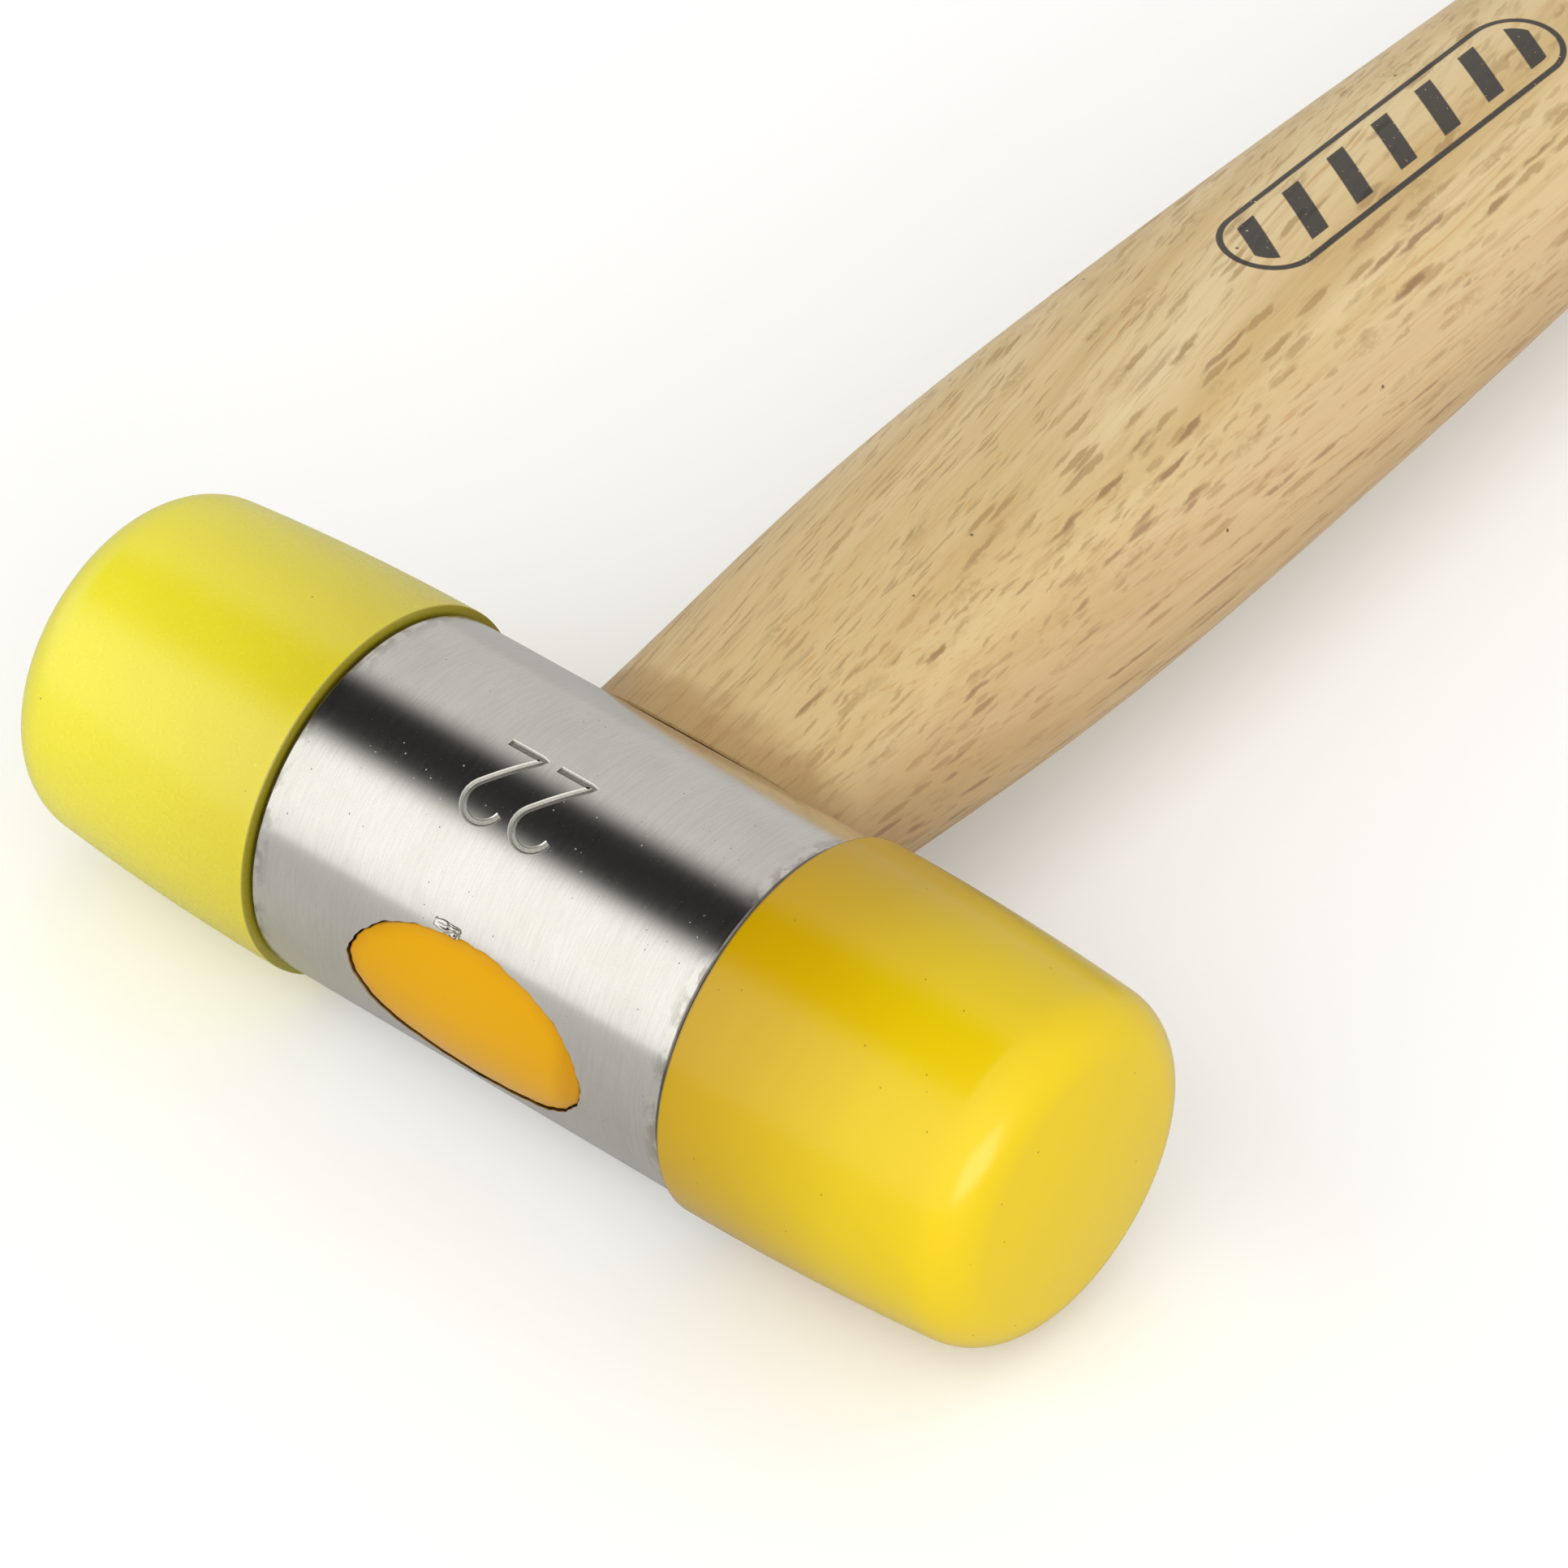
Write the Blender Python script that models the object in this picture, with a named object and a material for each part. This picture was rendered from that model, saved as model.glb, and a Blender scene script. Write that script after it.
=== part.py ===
"""Soft-face dead blow mallet, 22 mm size.

A thick steel tube carries a screwed-on plastic face at each end, and in its bore a short charge
of steel shot on each side of the handle. The ash handle crosses the tube in an oval steel
sleeve, is spread by a wooden wedge and is set in resin, which shows as an oval plug in front.

Head frame: X along the head, Y towards the butt of the handle, Z up, origin in the middle of
the tube. The mallet lies on its side. One empty carries everything, and puts the world's origin
under the middle of the whole mallet, at the height of its lowest point.
"""

import math

import bmesh
import bpy
from mathutils import Vector

MM = 0.001

# ---- Driving dimensions --------------------------------------------------------------------

GAP = 0.3 * MM                      # between pieces that seat on each other

TUBE_RADIUS = 11.0 * MM
TUBE_LENGTH = 30.0 * MM             # bare steel between the two faces
TUBE_CHAMFER = 0.2 * MM
SHOULDER_HEIGHT = 2.7 * MM          # from the tube's outside to the middle of its thread
SPIGOT_WALL = 1.65 * MM             # steel left between the thread's root and the bore

THREAD_PITCH = 2.0 * MM
THREAD_DEPTH = 0.7 * MM
THREAD_START = 1.0 * MM             # plain neck between the shoulder and the first turn
THREAD_TURNS = 4
SPIGOT_LEAD = 1.6 * MM              # plain end of the spigot beyond the last turn
THREAD_CLEARANCE = 0.3 * MM         # all round, between the steel and the plastic thread

FACE_LENGTH = 20.2 * MM
RIM_STEP = 0.45 * MM                # the face's rim stands this far proud of the tube
RIM_EDGE = 0.35 * MM
FACE_TAPER = 0.75 * MM              # radius lost between the rim and the nose corner
NOSE_CORNER = 3.2 * MM
CROWN_HEIGHT = 0.5 * MM
CROWN_FLAT = 2.5 * MM               # radius of the flat spot in the middle of the crown

WASHER_THICKNESS = 1.0 * MM
WASHER_HOLE = 3.0 * MM
PLUG_LENGTH = 2.6 * MM
PLUG_WALL = 0.9 * MM

EYE_HALF_WIDTH = 8.5 * MM           # the eye's front mouth, along the head
EYE_HALF_HEIGHT = 5.0 * MM
EYE_OFFSET = 0.8 * MM               # the front mouth sits this far towards the right face
SLEEVE_WALL = 0.7 * MM
SLEEVE_RECESS = 2.4 * MM            # from the tube's outside to each end of the sleeve
TENON_RECESS = 2.1 * MM             # from the sleeve's front end to the end of the tenon
TENON_CHAMFER = 0.6 * MM
KERF_DEPTH = 9.0 * MM
KERF_MOUTH = 2.2 * MM
KERF_ROOT = 1.1 * MM
WEDGE_SHORTER = 0.6 * MM            # the wedge stops short of the kerf's root

HANDLE_LENGTH = 245.0 * MM          # from the middle of the tube to the butt
HANDLE_SQUARENESS = 2.4             # 2 is an ellipse, more is squarer
BUTT_ROUND = 12.0 * MM
BUTT_FLAT = 0.35                    # flat share of the butt's half width
NECK_AND_BELLY = (                  # distance from the head, half width, half thickness
    (11.0 * MM, 9.3 * MM, 6.6 * MM),
    (35.0 * MM, 11.0 * MM, 7.8 * MM),
    (60.0 * MM, 10.9 * MM, 7.7 * MM),
    (90.0 * MM, 9.8 * MM, 6.9 * MM),
)
WAIST_AND_GRIP = (                  # distance from the butt, half width, half thickness
    (118.0 * MM, 7.9 * MM, 5.7 * MM),
    (90.0 * MM, 8.3 * MM, 6.5 * MM),
    (60.0 * MM, 10.3 * MM, 8.4 * MM),
    (30.0 * MM, 12.0 * MM, 9.8 * MM),
    (12.0 * MM, 12.2 * MM, 10.0 * MM),
)

SHOT_LAYERS = 2                     # layers of seven balls in each charge

# ---- Finishes: colour, roughness, metallic -------------------------------------------------

STEEL = ((0.62, 0.60, 0.57), 0.28, 1.0)
DARK_STEEL = ((0.42, 0.42, 0.43), 0.35, 1.0)
BRIGHT_STEEL = ((0.70, 0.70, 0.70), 0.15, 1.0)
LEMON = ((0.78, 0.70, 0.07), 0.32, 0.0)
AMBER = ((0.80, 0.56, 0.02), 0.22, 0.0)
ORANGE_RESIN = ((0.90, 0.42, 0.0), 0.15, 0.0)
ASH = ((0.62, 0.45, 0.24), 0.40, 0.0)
WEDGE_WOOD = ((0.45, 0.28, 0.13), 0.55, 0.0)
BLACK_RUBBER = ((0.03, 0.03, 0.03), 0.80, 0.0)

# ---- Worked out from the driving dimensions ------------------------------------------------

ROUND_STEPS = 32                    # facets round a turned piece
OVAL_STEPS = 40                     # facets round the eye
HALF_THREAD = THREAD_DEPTH / 2
THREAD_RADIUS = TUBE_RADIUS - SHOULDER_HEIGHT
THREAD_LENGTH = THREAD_TURNS * THREAD_PITCH
ROOT_RADIUS = THREAD_RADIUS - HALF_THREAD
BORE_RADIUS = ROOT_RADIUS - SPIGOT_WALL
SOCKET_RADIUS = THREAD_RADIUS + HALF_THREAD + THREAD_CLEARANCE

SHOULDER_X = TUBE_LENGTH / 2 - GAP / 2
RIM_X = TUBE_LENGTH / 2 + GAP / 2
SPIGOT_X = SHOULDER_X + THREAD_START + THREAD_LENGTH + SPIGOT_LEAD
WASHER_X = SPIGOT_X + GAP
SOCKET_X = WASHER_X + WASHER_THICKNESS + GAP
NOSE_X = TUBE_LENGTH / 2 + FACE_LENGTH
RIM_RADIUS = TUBE_RADIUS + RIM_STEP

SLEEVE_REACH = TUBE_RADIUS - SLEEVE_RECESS
TENON_REACH = SLEEVE_REACH - TENON_RECESS
TENON_HALF_WIDTH = EYE_HALF_WIDTH - EYE_OFFSET - 2 * GAP - SLEEVE_WALL
TENON_HALF_HEIGHT = EYE_HALF_HEIGHT - 2 * GAP - SLEEVE_WALL
SHOT_RADIUS = (BORE_RADIUS - 2 * GAP) / 3
SHOT_SPACING = 2 * SHOT_RADIUS + GAP
PLUG_X = SPIGOT_X - GAP

HEAD_PLACE = Vector((0.0, (RIM_RADIUS - HANDLE_LENGTH) / 2, RIM_RADIUS))


# ---- Modelling helpers ---------------------------------------------------------------------

def finish(finish_name, look):
    """A Principled material with the given colour, roughness and metallic value."""
    colour, roughness, metallic = look
    material = bpy.data.materials.new(finish_name)
    material.use_nodes = True
    shader = material.node_tree.nodes["Principled BSDF"]
    shader.inputs["Base Color"].default_value = (*colour, 1.0)
    shader.inputs["Roughness"].default_value = roughness
    shader.inputs["Metallic"].default_value = metallic
    material.diffuse_color = (*colour, 1.0)
    return material


def add_object(name, shape, material, parent):
    """Turns a bmesh into a named object under an empty, with its faces pointing out."""
    bmesh.ops.recalc_face_normals(shape, faces=shape.faces)
    mesh = bpy.data.meshes.new(name)
    shape.to_mesh(mesh)
    shape.free()
    mesh.materials.append(material)
    mesh.shade_smooth()
    mesh.set_sharp_from_angle(angle=math.radians(35))
    piece = bpy.data.objects.new(name, mesh)
    bpy.context.scene.collection.objects.link(piece)
    piece.parent = parent
    return piece


def add_empty(name, parent=None, location=(0, 0, 0), turn=0.0):
    empty = bpy.data.objects.new(name, None)
    bpy.context.scene.collection.objects.link(empty)
    empty.parent = parent
    empty.location = location
    empty.rotation_euler = (0.0, 0.0, turn)
    return empty


def skin(rings, closed=False):
    """Joins rings of points with quads. The two ends are capped, or joined if closed is set."""
    shape = bmesh.new()
    loops = [[shape.verts.new(point) for point in ring] for ring in rings]
    steps = len(loops[0])
    pairs = list(zip(loops, loops[1:]))
    if closed:
        pairs.append((loops[-1], loops[0]))
    for near, far in pairs:
        for i in range(steps):
            j = (i + 1) % steps
            shape.faces.new((near[i], near[j], far[j], far[i]))
    if not closed:
        shape.faces.new(loops[0])
        shape.faces.new(loops[-1])
    return shape


def turned_ring(x, radius):
    """A ring about X. The radius is a length, or a function of the angle from +Y towards +Z."""
    ring = []
    for i in range(ROUND_STEPS):
        angle = 2 * math.pi * i / ROUND_STEPS
        r = radius(angle) if callable(radius) else radius
        ring.append(Vector((x, r * math.cos(angle), r * math.sin(angle))))
    return ring


def oval_ring(half_width, half_height, y, steps=OVAL_STEPS, squareness=2.0, centre=0.0):
    """A ring about Y. The height y is a length, or a function of the point's z."""
    ring = []
    for i in range(steps):
        angle = 2 * math.pi * i / steps
        c, s = math.cos(angle), math.sin(angle)
        x = centre + half_width * math.copysign(abs(c) ** (2 / squareness), c)
        z = half_height * math.copysign(abs(s) ** (2 / squareness), s)
        ring.append(Vector((x, y(z) if callable(y) else y, z)))
    return ring


def on_cylinder(radius, side):
    """The y of a point on a cylinder about X, on the side of +Y or -Y, as a function of z."""
    return lambda z: side * math.sqrt(radius * radius - z * z)


def cut(piece, cutter):
    """Takes the cutter away from the piece, and hides the cutter."""
    cutter.hide_render = True
    cutter.display_type = "WIRE"
    modifier = piece.modifiers.new("cut " + cutter.name, "BOOLEAN")
    modifier.operation = "DIFFERENCE"
    modifier.solver = "EXACT"
    modifier.object = cutter


# ---- The screw thread ----------------------------------------------------------------------

def thread_rows(middle, run_out):
    """Rows (x, radius function) of a right-hand knuckle thread, four to a pitch, along +X.

    run_out is -1 where the thread fades to its root, as on the steel spigot, and +1 where it
    fades to its widest, as in the plastic socket.
    """
    count = 4 * THREAD_TURNS
    rows = []
    for i in range(count + 1):
        x = SHOULDER_X + THREAD_START + THREAD_LENGTH * i / count
        full = min(1.0, i / 2, (count - i) / 2)

        def radius(angle, x=x, full=full):
            wave = math.cos(2 * math.pi * x / THREAD_PITCH - angle)
            return middle + HALF_THREAD * (full * wave + (1 - full) * run_out)

        rows.append((x, radius))
    return rows


# ---- Steel pieces of the head --------------------------------------------------------------

def half_tube_rings():
    """The rings of the tube's right half, from its middle over the spigot and back inside."""
    rows = [
        (SHOULDER_X - TUBE_CHAMFER, TUBE_RADIUS),
        (SHOULDER_X, TUBE_RADIUS - TUBE_CHAMFER),
        (SHOULDER_X, ROOT_RADIUS),
    ]
    rows += thread_rows(THREAD_RADIUS, run_out=-1)
    rows += [
        (SPIGOT_X - TUBE_CHAMFER, ROOT_RADIUS),
        (SPIGOT_X, ROOT_RADIUS - TUBE_CHAMFER),
        (SPIGOT_X, BORE_RADIUS + TUBE_CHAMFER),
        (SPIGOT_X - TUBE_CHAMFER, BORE_RADIUS),
    ]
    return [turned_ring(x, radius) for x, radius in rows]


def half_turn(ring):
    """The same ring at the other end of the head, turned about Z, in the same order of angles."""
    turned = [Vector((-point.x, -point.y, point.z)) for point in ring]
    middle = ROUND_STEPS // 2
    return [turned[(middle - i) % ROUND_STEPS] for i in range(ROUND_STEPS)]


def head_tube(place, steel):
    right = half_tube_rings()
    left = [half_turn(ring) for ring in reversed(right)]
    tube = add_object("head_tube", skin(left + right, closed=True), steel, place)
    reach = TUBE_RADIUS + 1.0 * MM
    front = skin([
        oval_ring(EYE_HALF_WIDTH, EYE_HALF_HEIGHT, y, centre=EYE_OFFSET)
        for y in (-reach, 0.0)
    ])
    rear_half_width = EYE_HALF_WIDTH - EYE_OFFSET
    rear = skin([oval_ring(rear_half_width, EYE_HALF_HEIGHT, y) for y in (-0.1 * MM, reach)])
    for name, shape in (("front_eye_cutter", front), ("rear_eye_cutter", rear)):
        cut(tube, add_object(name, shape, steel, place))


def eye_sleeve(place, steel):
    outer = EYE_HALF_WIDTH - EYE_OFFSET - GAP, EYE_HALF_HEIGHT - GAP
    inner = outer[0] - SLEEVE_WALL, outer[1] - SLEEVE_WALL
    rings = [
        oval_ring(*outer, -SLEEVE_REACH),
        oval_ring(*outer, SLEEVE_REACH),
        oval_ring(*inner, SLEEVE_REACH),
        oval_ring(*inner, -SLEEVE_REACH),
    ]
    add_object("eye_sleeve", skin(rings, closed=True), steel, place)


def chamber_plug(name, place, steel):
    """A pressed cup that closes the bore, open towards the face."""
    outer = BORE_RADIUS - GAP
    inner = outer - PLUG_WALL
    inside = PLUG_X - PLUG_LENGTH
    rings = [
        turned_ring(inside, outer),
        turned_ring(PLUG_X, outer),
        turned_ring(PLUG_X, inner),
        turned_ring(inside + PLUG_WALL, inner),
    ]
    add_object(name, skin(rings), steel, place)


def shot_travel():
    """Half of the free travel of a shot charge, and the rest place of its inner layer."""
    inner_stop = EYE_HALF_WIDTH - EYE_OFFSET - GAP + SHOT_RADIUS + GAP
    charge = (SHOT_LAYERS - 1) * SHOT_SPACING
    outer_stop = PLUG_X - PLUG_LENGTH - SHOT_RADIUS - GAP - charge
    return (outer_stop - inner_stop) / 2, (outer_stop + inner_stop) / 2


def shot_charge(side, place, steel):
    """Layers of seven balls: one on the bore's axis and six round it."""
    ball = bmesh.new()
    bmesh.ops.create_icosphere(ball, subdivisions=2, radius=SHOT_RADIUS)
    first = add_object(f"{side}_shot_01", ball, steel, place)
    start = shot_travel()[1]
    places = []
    for layer in range(SHOT_LAYERS):
        x = start + layer * SHOT_SPACING
        places.append(Vector((x, 0.0, 0.0)))
        for i in range(6):
            angle = math.pi * i / 3
            offset = Vector((0.0, math.cos(angle), math.sin(angle))) * SHOT_SPACING
            places.append(Vector((x, 0.0, 0.0)) + offset)
    first.location = places[0]
    for number, spot in enumerate(places[1:], start=2):
        copy = bpy.data.objects.new(f"{side}_shot_{number:02d}", first.data)
        bpy.context.scene.collection.objects.link(copy)
        copy.parent = place
        copy.location = spot


# ---- Plastic faces and their washers -------------------------------------------------------

def face_outside():
    """Rows of the face's outside, from the flat of its crown back to the rim."""
    corner_x = NOSE_X - CROWN_HEIGHT - NOSE_CORNER
    nose_radius = RIM_RADIUS - FACE_TAPER
    crown_radius = nose_radius - NOSE_CORNER
    rows = []
    for i in range(4):
        r = CROWN_FLAT + (crown_radius - CROWN_FLAT) * i / 4
        fall = (r - CROWN_FLAT) / (crown_radius - CROWN_FLAT)
        rows.append((NOSE_X - CROWN_HEIGHT * fall * fall, r))
    for i in range(6):
        angle = math.pi / 2 * (1 - i / 5)
        rows.append((corner_x + NOSE_CORNER * math.sin(angle),
                     crown_radius + NOSE_CORNER * math.cos(angle)))
    body = corner_x - RIM_X
    for i in range(3, 0, -1):
        share = i / 4
        rows.append((RIM_X + body * share, RIM_RADIUS - FACE_TAPER * share * share))
    rows += [
        (RIM_X + RIM_EDGE, RIM_RADIUS),
        (RIM_X + 0.3 * RIM_EDGE, RIM_RADIUS - 0.3 * RIM_EDGE),
        (RIM_X, RIM_RADIUS - RIM_EDGE),
    ]
    return rows


def face_socket():
    """Rows of the threaded socket, from its mouth in to its floor."""
    rows = [
        (RIM_X, SOCKET_RADIUS + RIM_EDGE),
        (RIM_X + RIM_EDGE, SOCKET_RADIUS),
    ]
    rows += thread_rows(THREAD_RADIUS + THREAD_CLEARANCE, run_out=1)
    rows.append((SOCKET_X, SOCKET_RADIUS))
    return rows


def face(name, place, plastic):
    rings = [turned_ring(x, radius) for x, radius in face_outside() + face_socket()]
    add_object(name, skin(rings), plastic, place)


def seating_washer(name, place, rubber):
    outer = THREAD_RADIUS
    rings = [
        turned_ring(WASHER_X, WASHER_HOLE),
        turned_ring(WASHER_X, outer),
        turned_ring(WASHER_X + WASHER_THICKNESS, outer),
        turned_ring(WASHER_X + WASHER_THICKNESS, WASHER_HOLE),
    ]
    add_object(name, skin(rings, closed=True), rubber, place)


# ---- Handle, wedge and resin ---------------------------------------------------------------

def smooth_value(stations, column, y):
    """A smooth curve through one column of the stations, read at y."""
    last = len(stations) - 1
    k = 0
    while k < last - 1 and y > stations[k + 1][0]:
        k += 1
    y0, y1 = stations[k][0], stations[k + 1][0]
    v0, v1 = stations[k][column], stations[k + 1][column]

    def slope(i):
        a, b = stations[max(i - 1, 0)], stations[min(i + 1, last)]
        return (b[column] - a[column]) / (b[0] - a[0])

    t = (y - y0) / (y1 - y0)
    span = y1 - y0
    rise = t * t * (3 - 2 * t)
    return (v0 + (v1 - v0) * rise + slope(k) * span * t * (1 - t) ** 2
            - slope(k + 1) * span * t * t * (1 - t))


def handle_ring(stations, y, seat=0.0, scale=1.0):
    """A section of the handle. seat is 1 where it follows the tube's round, and 0 beyond."""
    half_width = smooth_value(stations, 1, y) * scale
    half_height = smooth_value(stations, 2, y) * scale
    seat_radius = TUBE_RADIUS + GAP
    curve = on_cylinder(seat_radius, 1)

    def place(z):
        return y - seat * (seat_radius - curve(z))

    return oval_ring(half_width, half_height, place if seat else y,
                     squareness=HANDLE_SQUARENESS)


def handle(place, wood):
    stations = list(NECK_AND_BELLY)
    stations += [(HANDLE_LENGTH - y, width, height) for y, width, height in WAIST_AND_GRIP]
    seat_radius = TUBE_RADIUS + GAP
    seat = on_cylinder(seat_radius, 1)
    tenon = TENON_HALF_WIDTH, TENON_HALF_HEIGHT
    neck = (smooth_value(stations, 1, seat_radius), smooth_value(stations, 2, seat_radius))
    ledge = [(a + b) / 2 for a, b in zip(tenon, neck)]

    rings = [
        oval_ring(tenon[0] - TENON_CHAMFER, tenon[1] - TENON_CHAMFER, -TENON_REACH),
        oval_ring(*tenon, TENON_CHAMFER - TENON_REACH),
        oval_ring(*tenon, seat),
        oval_ring(*ledge, seat, squareness=(2 + HANDLE_SQUARENESS) / 2),
    ]
    seat_run = 4
    for i in range(seat_run):
        rings.append(handle_ring(stations, seat_radius + 2.2 * MM * i, seat=(1 - i / seat_run) ** 2))
    start = seat_radius + 2.2 * MM * seat_run
    end = HANDLE_LENGTH - BUTT_ROUND
    count = 17
    for i in range(count):
        rings.append(handle_ring(stations, start + (end - start) * i / count))
    for i in range(6):
        angle = math.pi / 2 * i / 5
        scale = BUTT_FLAT + (1 - BUTT_FLAT) * math.cos(angle)
        ring = handle_ring(stations, end, scale=scale)
        for point in ring:
            point.y = end + BUTT_ROUND * math.sin(angle)
        rings.append(ring)

    piece = add_object("handle", skin(rings), wood, place)
    kerf = wedge_shape(KERF_MOUTH, KERF_ROOT, KERF_DEPTH, TENON_HALF_WIDTH + 1.0 * MM, 1.0 * MM)
    cut(piece, add_object("kerf_cutter", kerf, wood, place))


def wedge_shape(mouth, root, depth, half_width, ahead=0.0):
    """A flat wedge driven from the front into the tenon, its mouth ahead of the tenon's end."""
    front = -TENON_REACH - ahead
    mouth += (mouth - root) * ahead / depth
    shape = bmesh.new()
    bmesh.ops.create_cube(shape, size=2.0)
    for vert in shape.verts:
        tip = vert.co.y > 0
        vert.co.x *= half_width
        vert.co.z *= (root if tip else mouth) / 2
        vert.co.y = depth - TENON_REACH if tip else front
    return shape


def handle_wedge(place, wood):
    slimmer = 2 * GAP
    shape = wedge_shape(KERF_MOUTH - slimmer, KERF_ROOT - slimmer, KERF_DEPTH - WEDGE_SHORTER,
                        TENON_HALF_WIDTH - TENON_CHAMFER - GAP)
    add_object("handle_wedge", shape, wood, place)


def eye_resin(place, resin):
    """A flush oval cap in the eye's mouth, with a stem in the sleeve that meets the tenon."""
    cap = EYE_HALF_WIDTH - GAP, EYE_HALF_HEIGHT - GAP
    outside = on_cylinder(TUBE_RADIUS, -1)
    underside = -SLEEVE_REACH - GAP
    rings = []
    for i in range(1, 6):
        rings.append(oval_ring(cap[0] * i / 5, cap[1] * i / 5, outside, centre=EYE_OFFSET))
    rings += [
        oval_ring(*cap, underside, centre=EYE_OFFSET),
        oval_ring(TENON_HALF_WIDTH, TENON_HALF_HEIGHT, underside),
        oval_ring(TENON_HALF_WIDTH, TENON_HALF_HEIGHT, -TENON_REACH - GAP),
    ]
    add_object("eye_resin", skin(rings), resin, place)


# ---- The whole mallet ----------------------------------------------------------------------

def clear_scene():
    for old in list(bpy.data.objects):
        bpy.data.objects.remove(old, do_unlink=True)


def build_mallet():
    clear_scene()
    head = add_empty("head_frame", location=HEAD_PLACE)

    steel = finish("ground steel", STEEL)
    pressed = finish("pressed steel", DARK_STEEL)
    shot = finish("steel shot", BRIGHT_STEEL)
    rubber = finish("black rubber", BLACK_RUBBER)

    head_tube(head, steel)
    eye_sleeve(head, pressed)
    handle(head, finish("ash", ASH))
    handle_wedge(head, finish("wedge wood", WEDGE_WOOD))
    eye_resin(head, finish("orange resin", ORANGE_RESIN))

    faces = {"left": finish("lemon plastic", LEMON), "right": finish("amber plastic", AMBER)}
    for side, turn in (("left", math.pi), ("right", 0.0)):
        axis = add_empty(f"{side}_face_axis", parent=head, turn=turn)
        face(f"{side}_face", axis, faces[side])
        seating_washer(f"{side}_washer", axis, rubber)
        chamber_plug(f"{side}_chamber_plug", axis, pressed)
        shot_charge(side, axis, shot)


build_mallet()
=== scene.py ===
"""Looks for the soft-face dead blow mallet: finer pieces, finishes, studio and camera.

Lengths named here are in millimetres in the head's own frame, with its origin in the middle of
the steel tube: X along the head, Y towards the butt of the handle, Z up.
"""

import math

import bpy
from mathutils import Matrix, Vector


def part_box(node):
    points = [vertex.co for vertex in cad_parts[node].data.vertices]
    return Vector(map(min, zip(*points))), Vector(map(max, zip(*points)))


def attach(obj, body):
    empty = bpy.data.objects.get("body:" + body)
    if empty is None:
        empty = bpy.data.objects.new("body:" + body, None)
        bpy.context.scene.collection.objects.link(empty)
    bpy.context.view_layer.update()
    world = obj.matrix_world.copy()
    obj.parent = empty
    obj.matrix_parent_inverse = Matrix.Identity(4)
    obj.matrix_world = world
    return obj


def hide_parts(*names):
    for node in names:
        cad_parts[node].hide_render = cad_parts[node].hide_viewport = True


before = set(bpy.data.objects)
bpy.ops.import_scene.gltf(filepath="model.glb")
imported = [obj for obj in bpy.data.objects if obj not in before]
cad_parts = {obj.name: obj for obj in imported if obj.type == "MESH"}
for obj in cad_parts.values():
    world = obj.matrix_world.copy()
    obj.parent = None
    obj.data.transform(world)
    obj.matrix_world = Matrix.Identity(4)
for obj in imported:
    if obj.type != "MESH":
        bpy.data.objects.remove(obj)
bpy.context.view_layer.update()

MM = 0.001
TUBE_LOW, TUBE_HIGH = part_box("head_tube")
HEAD = (TUBE_LOW + TUBE_HIGH) / 2

# ---- Sizes the finer pieces share with the CAD ---------------------------------------------

TUBE_RADIUS = (TUBE_HIGH.z - TUBE_LOW.z) / 2 / MM
SPIGOT_X = TUBE_HIGH.x / MM
NOSE_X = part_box("right_face")[1].x / MM
RIM_RADIUS = (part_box("right_face")[1].z - HEAD.z) / MM
BUTT_Y = (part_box("handle")[1].y - HEAD.y) / MM
TENON_Y = (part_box("handle")[0].y - HEAD.y) / MM
SLEEVE_REACH = (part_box("eye_sleeve")[1].y - HEAD.y) / MM

SHOULDER_X = 14.85
RIM_X = 15.06
NECK_X = 15.85
THREAD_PITCH = 2.0
THREAD_END_X = 23.85
THREAD_RADIUS = 8.3
HALF_THREAD = 0.35
ROOT_RADIUS = THREAD_RADIUS - HALF_THREAD
BORE_RADIUS = 6.3
SOCKET_RADIUS = 8.95
SOCKET_X = 27.05
FACE_TAPER = 0.75
NOSE_CORNER = 3.4

EYE_HALF_WIDTH = 8.5
EYE_HALF_HEIGHT = 5.0
EYE_OFFSET = 0.8
TENON_HALF_WIDTH = 6.4
TENON_HALF_HEIGHT = 3.7
RESIN_LINE = 0.11                   # open line round the resin

ON_SURFACE = 0.004                  # how far off the round a point of the tube's outside may be
MOUTH_Y = -7.0                      # the tool of the front mouth is ragged ahead of this

STAMP_ROD = 0.30
STAMP_LIFT = 0.14                   # how far above the tube the rod's middle runs
STAMP_STEP = 0.35
STAMP_FOOT = 95.5                   # degrees round the tube, from the handle's side
STAMP_LEFTS = (-3.8, -0.3)

SEAT_RADIUS = TUBE_RADIUS + 0.08    # the handle's shoulder on the tube
SEAT_BEVEL = 0.12
SEAT_REACH = 8.8                    # how far along the handle the seat's curve dies out
SQUARENESS = 2.4
STATIONS = (                        # distance from the head, half width, half thickness
    (11.0, 9.3, 6.6), (35.0, 11.0, 7.8), (60.0, 10.9, 7.7), (90.0, 9.8, 6.9),
    (127.0, 7.9, 5.7), (155.0, 8.3, 6.5), (185.0, 10.3, 8.4), (215.0, 12.0, 9.8),
    (233.0, 12.2, 10.0),
)
BUTT_ROUND = 12.0
BUTT_FLAT = 0.35
KERF_MIDDLE = TENON_Y + 4.0
KERF_HALF_WIDTH, KERF_HALF_LENGTH = 7.4, 5.0
KERF_MOUTH, KERF_ROOT = 1.16, 0.55  # half heights

AROUND = 160                        # facets round a turned piece


# ---- Modelling -----------------------------------------------------------------------------

def at(x, y, z):
    """A point of the head's frame, in the scene's metres."""
    return HEAD + Vector((x, y, z)) * MM


def local(vert):
    """A vertex's place in the head's frame, in millimetres."""
    return (vert.co - HEAD) / MM


def deselect():
    bpy.ops.object.select_all(action="DESELECT")


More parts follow.
